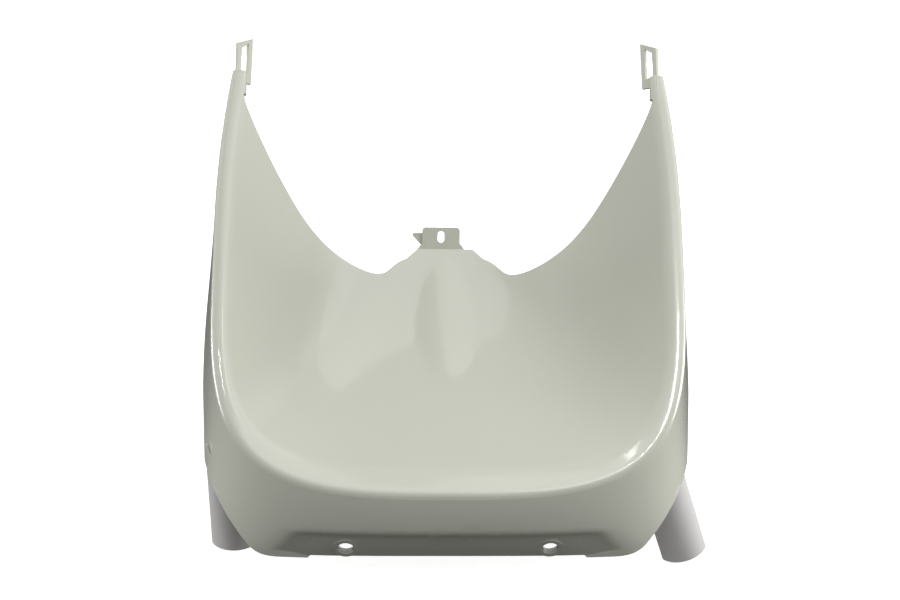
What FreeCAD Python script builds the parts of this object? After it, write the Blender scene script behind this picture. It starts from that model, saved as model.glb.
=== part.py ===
import FreeCAD, Part
import math
import os
from FreeCAD import Vector

# Scooter front panel: a deep scoop with a raised border, an outer apron and two horns.
# Millimetres and degrees, +Z up, front towards -Y. It is laid out with its bottom edge on Z 0,
# then moved so that the origin is midway between the lip's holes.
# The wall is laid out from the plane of the border, which leans back:
# x across, w up along that plane, n out of it towards the front.

# Wall
wall = 2.8
half_sections = 36         # wall sections on each side of the centre plane

# Border
lean = 53.0                # border plane above the horizontal
front_height = 66.5        # its front edge above the bottom edge
half_width = 178.0         # centre plane to its outer edge
tip_half_width = 169.0     # the same at the horn ends
corner_length = 206.0      # front edge to the line where the corners end
horn_length = 328.0        # front edge to the horn ends
front_power = 3.2          # how straight the front edge is
side_power = 4.75          # how straight the sides are
strip_front = 17.4         # width of the flat strip at the front
strip_side = 11.4          # and along the horns
dip_front = 26.0           # slope of the strip into the scoop at the front
dip_side = 4.0             # and along the horns
inner_round = 4.0          # run of the rounding from scoop to strip
outer_round = 5.0          # run of the rounding from strip to apron

# Scoop
scoop_depth = 112.0        # below the border plane, at the deepest line
scoop_length = 245.0       # front edge to the deepest line
scoop_power = 2.6          # how flat the floor is
throat = 20.0              # where the floor sections end at the centre
throat_side = 85.0         # and at the sides

# Bulge in the scoop's floor
bulge_w = 152.0
bulge_length = 112.0
bulge_width = 46.0
bulge_height = 4.0

# Apron outside the border
apron_side = 52.0          # length along the sides
apron_tip = 15.0           # length at the horn ends
corner_flare = 20.0        # how far it leans out at the corners
tip_flare = 4.0
lip_back = 14.0            # its bottom edge behind the front of the border
lip_corner = 90.0          # depth of the bottom edge's corners
lip_power = 5.0            # how straight the bottom edge is
foot_half = 202.0          # half width of the bottom edge

# Mounting lip: the recess with the two holes
lip_top = 27.5
lip_half = 116.0           # half its width along the top
lip_depth = 2.4
hole_spacing = 154.0
hole_height = 12.0
hole_radius = 6.2
collar_radius = 9.5
collar_length = 2.5        # behind the wall
collar_rise = 0.3          # and proud of its front
notch_half = 104.0         # raised stretch of the bottom edge
notch_height = 3.0
trim_x = 126.0             # where the bottom edge starts to rise at the corners
trim_bend_x = 151.5        # where its rise becomes straight
trim_bend_z = 11.5
trim_angle = 54.0          # slope of that rise

# Cut between the horns
cut_depth_w = 193.5        # bottom of its two lobes
lobe_x = 62.0
shoulder_x = 33.0          # outer ends of the hump under the tab
shoulder_w = 208.0
hump_w = 217.0             # top of the hump

# Tab on the hump
tab_width = 32.0
tab_x = -3.5                # its middle, left of the centre plane
tab_height = 18.5
tab_lean = 14.0
slot_width = 5.8
slot_length = 10.0
slot_height = 10.5
lug_reach = 8.0            # locating lug beside the tab

# Clip loops on the horn ends
clip_width = 18.0
clip_length = 34.0
clip_turn = 60.0
clip_wall = 2.4
clip_frame = 4.6

# Feet under the corners
foot_radius = 20.0
foot_arc = 128.0
foot_inset = 35.8           # centre of its round wall, in from the apron's corner
foot_x = foot_half - foot_inset
foot_y = 62.0
left_bottom = -12.0
right_bottom = -20.0
foot_overlap = 22.0        # how far it runs up behind the trimmed edge
foot_hinge = 50.0          # height that the tilt turns about
left_tilt = 0.0
right_tilt = 20.0


def mix(a, b, t):
    return a + (b - a) * t


def smooth(t):
    t = min(1.0, max(0.0, t))
    return t * t * (3.0 - 2.0 * t)


def place(x, w, n):
    c = math.cos(math.radians(lean))
    s = math.sin(math.radians(lean))
    return Vector(x, w * c - n * s, front_height + w * s + n * c)


# Outer edge of the border: k is 0 at the front, 1 where the corner ends, 2 at the horn end.
def rim(k):
    side = -1.0 if k < 0 else 1.0
    k = abs(k)
    if k <= 1.0:
        a = math.radians(90.0 * k)
        x = half_width * math.sin(a) ** (2.0 / front_power)
        w = corner_length * (1.0 - math.cos(a) ** (2.0 / side_power))
        return side * x, w
    t = k - 1.0
    return side * mix(half_width, tip_half_width, t * t), mix(corner_length, horn_length, t)


def outward(k):
    if abs(k) >= 1.0:
        return Vector(math.copysign(1.0, k), 0.0, 0.0)
    e = 1e-4
    x0, w0 = rim(k - e)
    x1, w1 = rim(k + e)
    return Vector(w1 - w0, x0 - x1, 0.0).normalize()


def bulge(x, w):
    k = (2.0 * x / bulge_width) ** 2 + (2.0 * (w - bulge_w) / bulge_length) ** 2
    return bulge_height * 0.5 * (1.0 - k + math.sqrt((1.0 - k) ** 2 + 0.02))


def arc_points(a, b, c, count):
    rows = []
    for i in range(count):
        t = i / (count - 1.0)
        rows.append(a * (1 - t) ** 2 + b * (2 * t * (1 - t)) + c * t ** 2)
    return rows


def floor_points(inner, rise):
    pole = Vector(0.0, max(scoop_length, inner.y), 0.0)
    ray = Vector(inner.x, inner.y - pole.y, 0.0)
    reach = ray.Length
    swing = math.degrees(math.atan2(abs(ray.x), -ray.y))
    start = mix(throat, throat_side, smooth((swing - 15.0) / 75.0))
    if inner.y > scoop_length:
        start = mix(throat_side, reach - 9.0, (inner.y - scoop_length) / (horn_length - scoop_length))
    rows = []
    for i in range(19):
        run = mix(start, reach - inner_round, i / 18.0)
        p = pole + ray * (run / reach)
        n = -scoop_depth + rise * (run / reach) ** scoop_power
        rows.append(Vector(p.x, p.y, n + bulge(p.x, p.y)))
    return rows


# Direction of the apron at the border: straight down at the front, square to the border at the sides.
def fall(out, w):
    angle = math.radians(lean * (1.0 - smooth(w / 150.0)))
    down = Vector(0.0, -math.sin(angle), -math.cos(angle))
    return down, (out - down * out.dot(down)).normalize()


# End of an apron section: on the straight lip at the front, square below the border at the sides.
def apron_end(start, first, w):
    x = start.x * foot_half / half_width
    share = min(1.0, abs(x) / foot_half) ** lip_power
    y = lip_back + lip_corner * (1.0 - (1.0 - share) ** (1.0 / lip_power))
    c = math.cos(math.radians(lean))
    s = math.sin(math.radians(lean))
    z = -4.0 - front_height
    ground = Vector(x, y * c + z * s, z * c - y * s)
    length = mix(apron_side, apron_tip, smooth((w - 120.0) / (horn_length - 120.0)))
    return mix(ground, start + first * length, smooth((w - 20.0) / 70.0))


def apron_points(start, first, side, w):
    end = apron_end(start, first, w)
    knee = start + first * ((end - start).Length * 0.5)
    rows = []
    for i in range(26):
        t = mix(0.0, 0.36, i / 9.0) if i < 9 else mix(0.36, 1.0, (i - 9) / 16.0)
        p = start * (1 - t) ** 2 + knee * (2 * t * (1 - t)) + end * t ** 2
        rows.append(lip_recess(p, side))
    return rows


def lip_recess(p, out):
    q = place(p.x, p.y, p.z)
    end = lip_half + (lip_top - q.z) * 0.8
    share = smooth((lip_top + 5.0 - q.z) / 10.0) * smooth((end + 14.0 - abs(q.x)) / 28.0)
    return p - out * (lip_depth * share)


# Front-face points of one wall section: scoop, border and apron.
def section(k):
    rx, rw = rim(k)
    out = outward(k)
    turn = smooth(math.degrees(math.atan2(abs(out.x), -out.y)) / 90.0)
    strip = mix(strip_front, strip_side, turn)
    drop = strip * math.tan(math.radians(mix(dip_front, dip_side, turn)))
    inner = Vector(rx, rw, -drop) - out * strip
    outer = Vector(rx, rw, 0.0)
    along = (outer - inner).normalize()
    floor = floor_points(inner, scoop_depth - drop)
    down, side = fall(out, rw)
    flare = math.radians(turn * mix(corner_flare, tip_flare, rw / horn_length))
    first = down * math.cos(flare) + side * math.sin(flare)
    border = arc_points(floor[-1], inner, inner + along * inner_round, 5)
    round_out = arc_points(outer - along * outer_round, outer, outer + first * outer_round, 6)
    border.append((border[-1] + round_out[0]) * 0.5)
    border += round_out
    apron = apron_points(border[-1], first, side, rw)
    return floor, border, apron


# Sections evenly spaced along the border, from the left horn round the front to the right horn.
def stations():
    steps = 400
    ks = [2.0 * i / steps for i in range(steps + 1)]
    run = [0.0]
    for a, b in zip(ks, ks[1:]):
        xa, wa = rim(a)
        xb, wb = rim(b)
        run.append(run[-1] + math.hypot(xb - xa, wb - wa))
    half = [0.0]
    for i in range(1, half_sections):
        goal = run[-1] * i / half_sections
        j = next(n for n, length in enumerate(run) if length >= goal)
        half.append(mix(ks[j - 1], ks[j], (goal - run[j - 1]) / (run[j] - run[j - 1])))
    half.append(2.0)
    return [-k for k in reversed(half[1:])] + half


def spline(points):
    last = len(points) - 1.0
    line = Part.BSplineCurve()
    line.interpolate(Points=points, Parameters=[i / last for i in range(len(points))])
    return line


def curve(points):
    return spline(points).toShape()


# Rows one wall thickness behind the front rows.
def back_rows(rows):
    result = []
    last = len(rows) - 1
    for i, row in enumerate(rows):
        before = rows[max(0, i - 1)]
        after = rows[min(last, i + 1)]
        line = []
        for j, p in enumerate(row):
            u = after[j] - before[j]
            v = row[min(len(row) - 1, j + 1)] - row[max(0, j - 1)]
            n = v.cross(u)
            if i in (0, last):
                n.y = 0.0
            line.append(p - n.normalize() * wall)
        result.append(line)
    return result


# Smooth face through a grid of points, one row for each section.
def skin(rows):
    poles = []
    for row in rows:
        along = spline(row)
        poles.append(along.getPoles())
    columns = [spline([row[j] for row in poles]) for j in range(len(poles[0]))]
    face = Part.BSplineSurface()
    face.buildFromPolesMultsKnots([c.getPoles() for c in columns],
                                  along.getMultiplicities(), columns[0].getMultiplicities(),
                                  along.getKnots(), columns[0].getKnots(), False, False, 3, 3)
    return face.toShape()


def shell():
    parts = [section(k) for k in stations()]
    floor_end = len(parts[0][0])
    border_end = floor_end + len(parts[0][1]) - 1
    front = [f + b[1:] + a[1:] for f, b, a in parts]
    back = back_rows(front)
    front = [[place(p.x, p.y, p.z) for p in row] for row in front]
    back = [[place(p.x, p.y, p.z) for p in row] for row in back]
    spans = [(0, floor_end), (floor_end - 1, border_end), (border_end - 1, len(front[0]))]
    faces = [skin([row[a:b] for row in side]) for side in (front, back) for a, b in spans]
    for j in (0, -1):
        faces.append(Part.makeRuledSurface(curve([row[j] for row in front]), curve([row[j] for row in back])))
    for i in (0, -1):
        edges = [curve(side[i][a:b]) for side in (front, back) for a, b in spans]
        edges += [Part.makeLine(front[i][j], back[i][j]) for j in (0, -1)]
        faces.append(Part.Face(Part.Wire(Part.__sortEdges__(edges))))
    skinned = Part.makeShell(faces)
    skinned.sewShape()
    return Part.makeSolid(skinned)


def prism(points, depth):
    return Part.Face(Part.makePolygon(points + points[:1])).extrude(depth)


def rounded_plate(width, height, radius, thick):
    # Upright plate with two rounded upper corners, its front face on y 0.
    h = width / 2.0
    r = radius
    s = r * math.sqrt(0.5)
    left = Part.Arc(Vector(-h, 0, height - r), Vector(-h + r - s, 0, height - r + s), Vector(-h + r, 0, height))
    right = Part.Arc(Vector(h - r, 0, height), Vector(h - r + s, 0, height - r + s), Vector(h, 0, height - r))
    sides = [Part.makeLine(Vector(-h, 0, 0), Vector(-h, 0, height - r)), left.toShape(),
             Part.makeLine(Vector(-h + r, 0, height), Vector(h - r, 0, height)), right.toShape(),
             Part.makeLine(Vector(h, 0, height - r), Vector(h, 0, 0)),
             Part.makeLine(Vector(h, 0, 0), Vector(-h, 0, 0))]
    return Part.Face(Part.Wire(sides)).extrude(Vector(0, thick, 0))


def slot_cutter(width, length, centre_z, depth):
    r = width / 2.0
    run = length / 2.0 - r
    ends = [Part.makeCylinder(r, 2 * depth, Vector(0, -depth, centre_z + z), Vector(0, 1, 0)) for z in (-run, run)]
    middle = Part.makeBox(width, 2 * depth, 2 * run, Vector(-r, -depth, centre_z - run))
    return middle.fuse(ends)


def horn_cut():
    top_x = tip_half_width - strip_side + 0.8
    side = [(shoulder_x, shoulder_w), (mix(shoulder_x, lobe_x, 0.45), mix(shoulder_w, cut_depth_w, 0.62)),
            (lobe_x, cut_depth_w), (mix(lobe_x, top_x, 0.36), cut_depth_w + 16.0),
            (mix(lobe_x, top_x, 0.67), cut_depth_w + 50.0), (top_x - 6.0, cut_depth_w + 96.0),
            (top_x, cut_depth_w + 116.0)]
    lift = 30.0
    right = [place(x, w, lift) for x, w in side]
    left = [place(-x, w, lift) for x, w in side]
    root = tab_width / 2.0 + 4.0 - tab_x
    far = horn_length + 40.0
    edges = [curve(right), Part.makeLine(right[-1], place(top_x, far, lift)),
             Part.makeLine(place(top_x, far, lift), place(-top_x, far, lift)),
             Part.makeLine(place(-top_x, far, lift), left[-1]), curve(left[::-1]),
             Part.makeLine(left[0], place(-root, hump_w, lift)),
             Part.makeLine(place(-root, hump_w, lift), place(root, hump_w, lift)),
             Part.makeLine(place(root, hump_w, lift), right[0])]
    depth = place(0, 0, -scoop_depth - 2 * lift) - place(0, 0, 0)
    return Part.Face(Part.Wire(edges)).extrude(depth)


def bottom_cut():
    size = 2.5 * half_width
    below = Part.makeBox(2 * size, size, size, Vector(-size, -size / 2.0, -size))
    slope = notch_height
    notch = prism([Vector(-notch_half - slope, -size / 2.0, -1), Vector(-notch_half, -size / 2.0, notch_height),
                   Vector(notch_half, -size / 2.0, notch_height), Vector(notch_half + slope, -size / 2.0, -1)],
                  Vector(0, size / 2.0 + 40.0, 0))
    return below.fuse(notch)


# Point on the lip's front face and the direction out of it, at the height of the holes.
def lip_face(x):
    best = min((section(k / 400.0)[2] for k in range(0, 400)), key=lambda row: abs(place(*row[-4]).x - abs(x)))
    row = [place(*p) for p in best]
    j = min(range(1, len(row)), key=lambda i: abs(row[i].z - hole_height))
    run = (row[j] - row[j - 1]).normalize()
    return Vector(x, row[j].y, row[j].z), Vector(0, run.z, -run.y).normalize()


def tab():
    root = 3.0
    plate = rounded_plate(tab_width, tab_height + root, 3.0, wall)
    plate.translate(Vector(0, 0, -root))
    h = tab_width / 2.0
    flare = prism([Vector(-h - 4, 0, -root), Vector(h + 4, 0, -root), Vector(h + 4, 0, 0), Vector(h, 0, 5),
                   Vector(-h, 0, 5), Vector(-h - 4, 0, 0)], Vector(0, wall, 0))
    web = Part.makeBox(wall, 9.0, 11.0, Vector(-h, 0.5, 2.0))
    hook = prism([Vector(-h + wall, 9.5 - wall, 13.0), Vector(-h - lug_reach, 9.5 - wall, 13.0),
                  Vector(-h - lug_reach, 9.5 - wall, 10.5), Vector(-h, 9.5 - wall, 2.0),
                  Vector(-h + wall, 9.5 - wall, 2.0)], Vector(0, wall, 0))
    body = plate.fuse([flare, web, hook]).cut(slot_cutter(slot_width, slot_length, slot_height, 5.0))
    body.rotate(Vector(), Vector(1, 0, 0), -tab_lean)
    body.translate(place(tab_x, hump_w, -scoop_depth + bulge(0, hump_w)))
    return body


# Loop at a horn end: a plate with a window, turned about the horn's length.
def clip(side):
    c = math.cos(math.radians(clip_turn))
    s = math.sin(math.radians(clip_turn))
    x0 = tip_half_width - 4.0

    def at(d, w):
        return place(side * (x0 - d * c), horn_length + w, -1.2 - d * s)

    normal = (at(0, 1) - at(0, 0)).cross(at(1, 0) - at(0, 0)).normalize() * clip_wall
    rise = clip_width * 0.6
    outline = [at(0, -9), at(0, clip_length - rise), at(clip_width, clip_length), at(clip_width, -5)]
    f = clip_frame
    window = [at(f, 1.5), at(f, clip_length - rise - 2.6), at(clip_width - f, clip_length - f - 1.6),
              at(clip_width - f, 1.5)]
    return prism(outline, normal).cut(prism([p - normal for p in window], normal * 3))


# Everything below the trimmed bottom edge at one corner, moved up by a lift.
def corner_trim(side, lift):
    size = 2.5 * half_width
    top_z = trim_bend_z + (size - trim_bend_x) * math.tan(math.radians(trim_angle))
    bend = Vector(side * trim_bend_x, -size / 2.0, trim_bend_z + lift)
    start = Vector(side * trim_x, -size / 2.0, lift)
    level = Vector(side * (trim_bend_x - trim_bend_z / math.tan(math.radians(trim_angle))), -size / 2.0, lift)
    end = Vector(side * size, -size / 2.0, top_z + lift)
    low = -size
    round_part = Part.BezierCurve()
    round_part.setPoles([start, level, bend])
    edges = [round_part.toShape(), Part.makeLine(bend, end),
             Part.makeLine(end, Vector(end.x, end.y, low)),
             Part.makeLine(Vector(end.x, end.y, low), Vector(start.x, start.y, low)),
             Part.makeLine(Vector(start.x, start.y, low), start)]
    return Part.Face(Part.Wire(edges)).extrude(Vector(0, size, 0))


# Foot under a corner: a piece of a round wall behind the trimmed edge, leaning out by its tilt.
def foot(side, bottom, tilt):
    r = foot_radius
    height = 2.5 * foot_hinge
    tube = Part.makeCylinder(r, height, Vector(), Vector(0, 0, 1), foot_arc)
    tube = tube.cut(Part.makeCylinder(r - wall, height, Vector(), Vector(0, 0, 1)))
    tube.rotate(Vector(), Vector(0, 0, 1), -90.0 - foot_arc / 2.0)
    tube.translate(Vector(foot_x, foot_y, bottom))
    reach = r * math.sin(math.radians(foot_arc / 2.0))
    tube.rotate(Vector(foot_x + reach, foot_y, foot_hinge), Vector(0, 1, 0), -tilt)
    tube = tube.common(corner_trim(1, foot_overlap))
    if side < 0:
        tube = tube.mirror(Vector(), Vector(1, 0, 0))
    return tube


def build():
    panel = shell().cut([horn_cut(), bottom_cut(), corner_trim(-1, 0.0), corner_trim(1, 0.0)])
    holes = []
    collars = []
    for side in (-1, 1):
        point, normal = lip_face(side * hole_spacing / 2.0)
        depth = wall + collar_length
        collars.append(Part.makeCylinder(collar_radius, depth, point - normal * (depth - collar_rise), normal))
        holes.append(Part.makeCylinder(hole_radius, 40.0, point - normal * 20.0, normal))
    feet = [foot(-1, left_bottom, left_tilt), foot(1, right_bottom, right_tilt)]
    panel = panel.fuse(collars + feet + [tab(), clip(-1), clip(1)]).cut(holes)
    left, normal = lip_face(-hole_spacing / 2.0)
    panel.translate(Vector(0, -left.y, -left.z))
    return panel


panel = build()
print("valid", panel.isValid(), "volume", panel.Volume, "solids", len(panel.Solids), "faces", len(panel.Faces))
print(panel.BoundBox)
os.makedirs("parts", exist_ok=True)
panel.exportStep("parts/front_panel.step")
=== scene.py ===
import math
import bpy
from mathutils import Matrix, Vector


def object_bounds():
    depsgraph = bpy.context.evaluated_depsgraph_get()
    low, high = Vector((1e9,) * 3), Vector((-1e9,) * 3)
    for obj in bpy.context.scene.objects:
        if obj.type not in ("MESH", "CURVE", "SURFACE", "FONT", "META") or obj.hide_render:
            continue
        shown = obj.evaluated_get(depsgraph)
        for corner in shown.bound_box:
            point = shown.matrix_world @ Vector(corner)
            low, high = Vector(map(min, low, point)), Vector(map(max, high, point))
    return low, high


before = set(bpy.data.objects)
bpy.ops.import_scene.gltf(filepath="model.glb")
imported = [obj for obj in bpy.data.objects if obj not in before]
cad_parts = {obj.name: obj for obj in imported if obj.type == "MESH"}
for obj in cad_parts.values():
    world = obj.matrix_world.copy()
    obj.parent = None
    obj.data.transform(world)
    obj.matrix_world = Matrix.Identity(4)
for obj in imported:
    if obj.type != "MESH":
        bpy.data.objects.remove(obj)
cadLow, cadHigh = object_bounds()
print("stage: frame loaded")


def node(tree, kind, **inputs):
    made = tree.nodes.new(kind)
    for name, value in inputs.items():
        made.inputs[name].default_value = value
    return made


def mathNode(tree, operation, first, second=0.0, third=0.0):
    made = tree.nodes.new("ShaderNodeMath")
    made.operation = operation
    for slot, value in enumerate((first, second, third)):
        if isinstance(value, (int, float)):
            made.inputs[slot].default_value = value
        else:
            tree.links.new(value, made.inputs[slot])
    return made.outputs[0]


def mixColour(tree, share, first, second):
    made = tree.nodes.new("ShaderNodeMix")
    made.data_type = "RGBA"
    tree.links.new(share, made.inputs[0])
    for slot, value in ((6, first), (7, second)):  # the mix node's two colour sockets
        if isinstance(value, tuple):
            made.inputs[slot].default_value = value
        else:
            tree.links.new(value, made.inputs[slot])
    return made.outputs[2]


def ramp(tree, value, low, high):
    made = tree.nodes.new("ShaderNodeMapRange")
    made.interpolation_type = "SMOOTHSTEP"
    tree.links.new(value, made.inputs["Value"])
    made.inputs["From Min"].default_value = low
    made.inputs["From Max"].default_value = high
    return made.outputs["Result"]


def emptyMaterial(name):
    material = bpy.data.materials.new(name)
    material.use_nodes = True
    material.node_tree.nodes.clear()
    return material


# Panel: glossy off-white plastic outside, duller on the inner side and the feet, with painted shade darkening
# the mounting lip's recess. Lengths are in metres.
panelLook = {
    "colour": (0.610, 0.622, 0.535, 1.0),
    "innerColour": (0.500, 0.500, 0.465, 1.0),
    "footColour": (0.590, 0.580, 0.570, 1.0),
    "gloss": 0.26,                # roughness of the outside
    "innerGloss": 0.48,           # and of the inner side
    "footGloss": 0.62,
    "ior": 1.5,
    "coat": 0.90,
    "coatGloss": 0.05,
    "flowScale": 9.0,             # faint cloudiness, per metre
    "flowDetail": 3.0,
    "flowAmount": 0.05,
    "grainScale": 900.0,          # fine surface texture, per metre
    "grainDetail": 2.0,
    "grainStrength": 0.5,
    "grainHeight": 0.00002,
    "leanAngle": 53.0,            # the border plane's lean
    "innerTurn": (-0.35, -0.60),  # how far a face turns away before it counts as the inner side
    "footTop": (0.045, 0.030),    # heights over which the feet begin
    "footSide": (0.150, 0.154),   # how far out
    "footBack": (0.020, 0.026),   # and how far back
    "lipPaintedShade": 0.62,             # painted shade: how dark the mounting lip's recess is painted against the rest
    "lipTop": 0.0157,             # its upper edge
    "lipTopFade": (0.003, -0.002),
    "lipHalf": 0.116,             # half its width at that edge
    "lipSideFade": 0.006,
    "lipSpread": 0.8,             # how fast it widens downwards
    "lipFace": (0.0042, 0.0036),  # its outer face, not its back
}


def innerShare(tree, look):
    lean = math.radians(look["leanAngle"])
    geometry = tree.nodes.new("ShaderNodeNewGeometry")
    facing = tree.nodes.new("ShaderNodeVectorMath")
    facing.operation = "DOT_PRODUCT"
    facing.inputs[1].default_value = (0.0, -math.sin(lean), math.cos(lean))
    tree.links.new(geometry.outputs["Normal"], facing.inputs[0])
    return ramp(tree, facing.outputs["Value"], *look["innerTurn"])


def footShare(tree, look, split, across):
    below = ramp(tree, split.outputs["Z"], *look["footTop"])
    beside = ramp(tree, across, *look["footSide"])
    behind = ramp(tree, split.outputs["Y"], *look["footBack"])
    return mathNode(tree, "MULTIPLY", mathNode(tree, "MULTIPLY", below, beside), behind)


# Mask for the painted shade on the mounting lip's downward-facing recess.
def paintedLipShadeShare(tree, look, split, across):
    above, under = look["lipTopFade"]
    inHeight = ramp(tree, split.outputs["Z"], look["lipTop"] + above, look["lipTop"] + under)
    drop = mathNode(tree, "SUBTRACT", look["lipTop"], split.outputs["Z"])
    reach = mathNode(tree, "MULTIPLY_ADD", drop, look["lipSpread"], look["lipHalf"])
    inWidth = ramp(tree, mathNode(tree, "SUBTRACT", reach, across), -look["lipSideFade"], look["lipSideFade"])
    outside = ramp(tree, split.outputs["Y"], *look["lipFace"])
    return mathNode(tree, "MULTIPLY", mathNode(tree, "MULTIPLY", inHeight, inWidth), outside)


def panelPlastic(look):
    material = emptyMaterial("panelPlastic")
    tree = material.node_tree
    place = tree.nodes.new("ShaderNodeTexCoord")
    split = tree.nodes.new("ShaderNodeSeparateXYZ")
    tree.links.new(place.outputs["Object"], split.inputs[0])
    across = mathNode(tree, "ABSOLUTE", split.outputs["X"])
    inner = innerShare(tree, look)
    foot = footShare(tree, look, split, across)
    paintedLipShade = paintedLipShadeShare(tree, look, split, across)

    shader = node(tree, "ShaderNodeBsdfPrincipled", IOR=look["ior"])
    shader.inputs["Coat Roughness"].default_value = look["coatGloss"]
    base = mixColour(tree, inner, look["colour"], look["innerColour"])
    base = mixColour(tree, foot, base, look["footColour"])
    cloud = node(tree, "ShaderNodeTexNoise", Scale=look["flowScale"], Detail=look["flowDetail"])
    tree.links.new(place.outputs["Object"], cloud.inputs["Vector"])
    flow = look["flowAmount"]
    swing = mathNode(tree, "MULTIPLY_ADD", cloud.outputs["Fac"], flow, 1.0 - flow / 2.0)
    # Painted shade: the base colour is darkened over the lip recess.
    paintedShadeDim = mathNode(tree, "MULTIPLY_ADD", paintedLipShade, look["lipPaintedShade"] - 1.0, 1.0)
    shade = tree.nodes.new("ShaderNodeVectorMath")
    shade.operation = "SCALE"
    tree.links.new(base, shade.inputs[0])
    tree.links.new(mathNode(tree, "MULTIPLY", swing, paintedShadeDim), shade.inputs["Scale"])
    tree.links.new(shade.outputs[0], shader.inputs["Base Color"])

    rough = mathNode(tree, "MULTIPLY_ADD", inner, look["innerGloss"] - look["gloss"], look["gloss"])
    rough = mathNode(tree, "MAXIMUM", rough, mathNode(tree, "MULTIPLY", foot, look["footGloss"]))
    tree.links.new(rough, shader.inputs["Roughness"])
    coat = mathNode(tree, "SUBTRACT", 1.0, mathNode(tree, "MAXIMUM", inner, foot))
    tree.links.new(mathNode(tree, "MULTIPLY", coat, look["coat"]), shader.inputs["Coat Weight"])

    grain = node(tree, "ShaderNodeTexNoise", Scale=look["grainScale"], Detail=look["grainDetail"])
    tree.links.new(place.outputs["Object"], grain.inputs["Vector"])
    bump = node(tree, "ShaderNodeBump", Strength=look["grainStrength"], Distance=look["grainHeight"])
    tree.links.new(grain.outputs["Fac"], bump.inputs["Height"])
    tree.links.new(bump.outputs["Normal"], shader.inputs["Normal"])
    out = tree.nodes.new("ShaderNodeOutputMaterial")
    tree.links.new(shader.outputs[0], out.inputs["Surface"])
    return material


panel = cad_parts["front_panel"]
panel.data.materials.clear()
panel.data.materials.append(panelPlastic(panelLook))
print("stage: panel dressed")


# Floor: white where the camera sees it, and it keeps the panel's shadow.
floorLook = {
    "colour": (0.90, 0.90, 0.90, 1.0),
    "unseenColour": (0.10, 0.10, 0.10, 1.0),  # what the panel is lit by and mirrors
    "seenGlow": 0.62,
    "size": 8.0,
}


def makeFloor(look):
    material = emptyMaterial("floorPaper")
    tree = material.node_tree
    paper = tree.nodes.new("ShaderNodeBsdfDiffuse")
    glow = tree.nodes.new("ShaderNodeEmission")
    seen = tree.nodes.new("ShaderNodeLightPath").outputs["Is Camera Ray"]
    tree.links.new(mixColour(tree, seen, look["unseenColour"], look["colour"]), paper.inputs["Color"])
    tree.links.new(mathNode(tree, "MULTIPLY", seen, look["seenGlow"]), glow.inputs["Strength"])
    total = tree.nodes.new("ShaderNodeAddShader")
    tree.links.new(paper.outputs[0], total.inputs[0])
    tree.links.new(glow.outputs[0], total.inputs[1])
    out = tree.nodes.new("ShaderNodeOutputMaterial")
    tree.links.new(total.outputs[0], out.inputs["Surface"])
    bpy.ops.mesh.primitive_plane_add(size=look["size"], location=(0, 0, cadLow.z))
    floor = bpy.context.object
    floor.name = "floor"
    floor.data.materials.append(material)


makeFloor(floorLook)


# World: white to the camera, and a sky that darkens towards the ground for everything else.
worldLook = {
    "colour": (1.0, 1.0, 1.0, 1.0),
    "skyLevel": 0.68,
    "lowLevel": 0.16,
    "skyRise": (0.0, 0.9),
}


def makeWorld(look):
    world = bpy.data.worlds.new("studio")
    bpy.context.scene.world = world
    world.use_nodes = True
    tree = world.node_tree
    tree.nodes.clear()
    sky = node(tree, "ShaderNodeBackground", Color=look["colour"])
    white = node(tree, "ShaderNodeBackground", Color=look["colour"])
    spot = tree.nodes.new("ShaderNodeTexCoord")
    split = tree.nodes.new("ShaderNodeSeparateXYZ")
    tree.links.new(spot.outputs["Generated"], split.inputs[0])
    height = ramp(tree, split.outputs["Z"], *look["skyRise"])
    level = mathNode(tree, "MULTIPLY_ADD", height, look["skyLevel"] - look["lowLevel"], look["lowLevel"])
    tree.links.new(level, sky.inputs["Strength"])
    light = tree.nodes.new("ShaderNodeLightPath")
    blend = tree.nodes.new("ShaderNodeMixShader")
    tree.links.new(light.outputs["Is Camera Ray"], blend.inputs[0])
    tree.links.new(sky.outputs[0], blend.inputs[1])
    tree.links.new(white.outputs[0], blend.inputs[2])
    out = tree.nodes.new("ShaderNodeOutputWorld")
    tree.links.new(blend.outputs[0], out.inputs["Surface"])


makeWorld(worldLook)
print("stage: floor and world")


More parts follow.
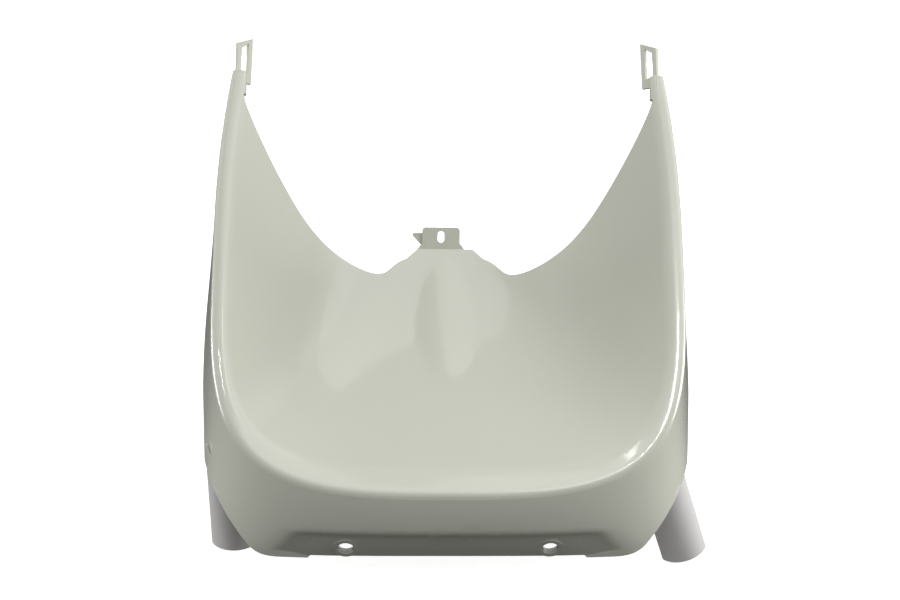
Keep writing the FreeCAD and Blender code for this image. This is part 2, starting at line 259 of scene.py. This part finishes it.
# Lamps: a big soft one overhead, soft ones around, and small ones that glint on the border.
lampLook = {
    "overhead": {"place": (0.90, -0.60, 2.20), "aim": (0.0, 0.08, 0.08), "size": (3.0, 2.6), "power": 20.0},
    "sideLeft": {"place": (-2.00, 0.20, 0.80), "aim": (0.0, 0.08, 0.10), "size": (2.6, 2.0), "power": 4.0},
    "sideRight": {"place": (2.00, 0.20, 0.80), "aim": (0.0, 0.08, 0.10), "size": (2.6, 2.0), "power": 6.5},
    "lowLeft": {"place": (-1.50, 0.10, 0.10), "aim": (0.0, 0.05, 0.05), "size": (0.8, 0.4), "power": 10.0},
    "lowRight": {"place": (1.50, 0.10, 0.10), "aim": (0.0, 0.05, 0.05), "size": (0.8, 0.4), "power": 14.0},
    "backLow": {"place": (0.00, 1.90, 0.30), "aim": (0.0, 0.10, 0.10), "size": (2.4, 0.8), "power": 14.0},
    "glintRight": {"place": (0.34, -0.78, 1.02), "aim": (0.15, 0.05, 0.08),
                   "size": (0.14, 0.20), "power": 2.4},
    "glintCorner": {"place": (-0.11, -0.33, 1.10), "aim": (0.13, 0.01, 0.08),
                    "size": (0.09, 0.15), "power": 0.003, "spread": 16.0},
    "glintLeft": {"place": (-0.28, -0.76, 1.00), "aim": (-0.15, 0.05, 0.08),
                  "size": (0.05, 0.07), "power": 0.3},
}


def makeLamp(name, look):
    data = bpy.data.lights.new(name, "AREA")
    data.shape = "RECTANGLE"
    data.size, data.size_y = look["size"]
    data.energy = look["power"]
    data.spread = math.radians(look.get("spread", 180.0))  # a full half sphere unless it says less
    lamp = bpy.data.objects.new(name, data)
    lamp.location = look["place"]
    lamp.rotation_euler = (Vector(look["aim"]) - Vector(look["place"])).to_track_quat("-Z", "Y").to_euler()
    bpy.context.collection.objects.link(lamp)


for lampName, oneLamp in lampLook.items():
    makeLamp(lampName, oneLamp)
print("stage: lamps")


# Camera: in front and above, a little to the left, as the photograph was taken. Angles are in degrees.
cameraLook = {
    "place": (-0.03273, -0.7511, 0.5240),
    "elevation": 25.0,
    "azimuth": -2.3,
    "roll": 1.325,
    "lens": 48.0,
    "sensorWidth": 36.0,
    "shift": (0.0003, 0.0437),
    "nearest": 0.01,
}


def makeCamera(look):
    up = math.radians(look["elevation"])
    turn = math.radians(look["azimuth"])
    back = Vector((math.sin(turn) * math.cos(up), -math.cos(turn) * math.cos(up), math.sin(up)))
    right = Vector((math.cos(turn), math.sin(turn), 0.0))
    top = back.cross(right)
    turned = Matrix((right, top, back)).transposed() @ Matrix.Rotation(math.radians(look["roll"]), 3, "Z")
    data = bpy.data.cameras.new("camera")
    data.lens = look["lens"]
    data.sensor_width = look["sensorWidth"]
    data.sensor_fit = "HORIZONTAL"
    data.shift_x, data.shift_y = look["shift"]
    data.clip_start = look["nearest"]
    camera = bpy.data.objects.new("camera", data)
    camera.matrix_world = Matrix.Translation(look["place"]) @ turned.to_4x4()
    bpy.context.collection.objects.link(camera)
    bpy.context.scene.camera = camera


makeCamera(cameraLook)
bpy.context.scene.view_settings.view_transform = "Standard"
print("stage: camera")
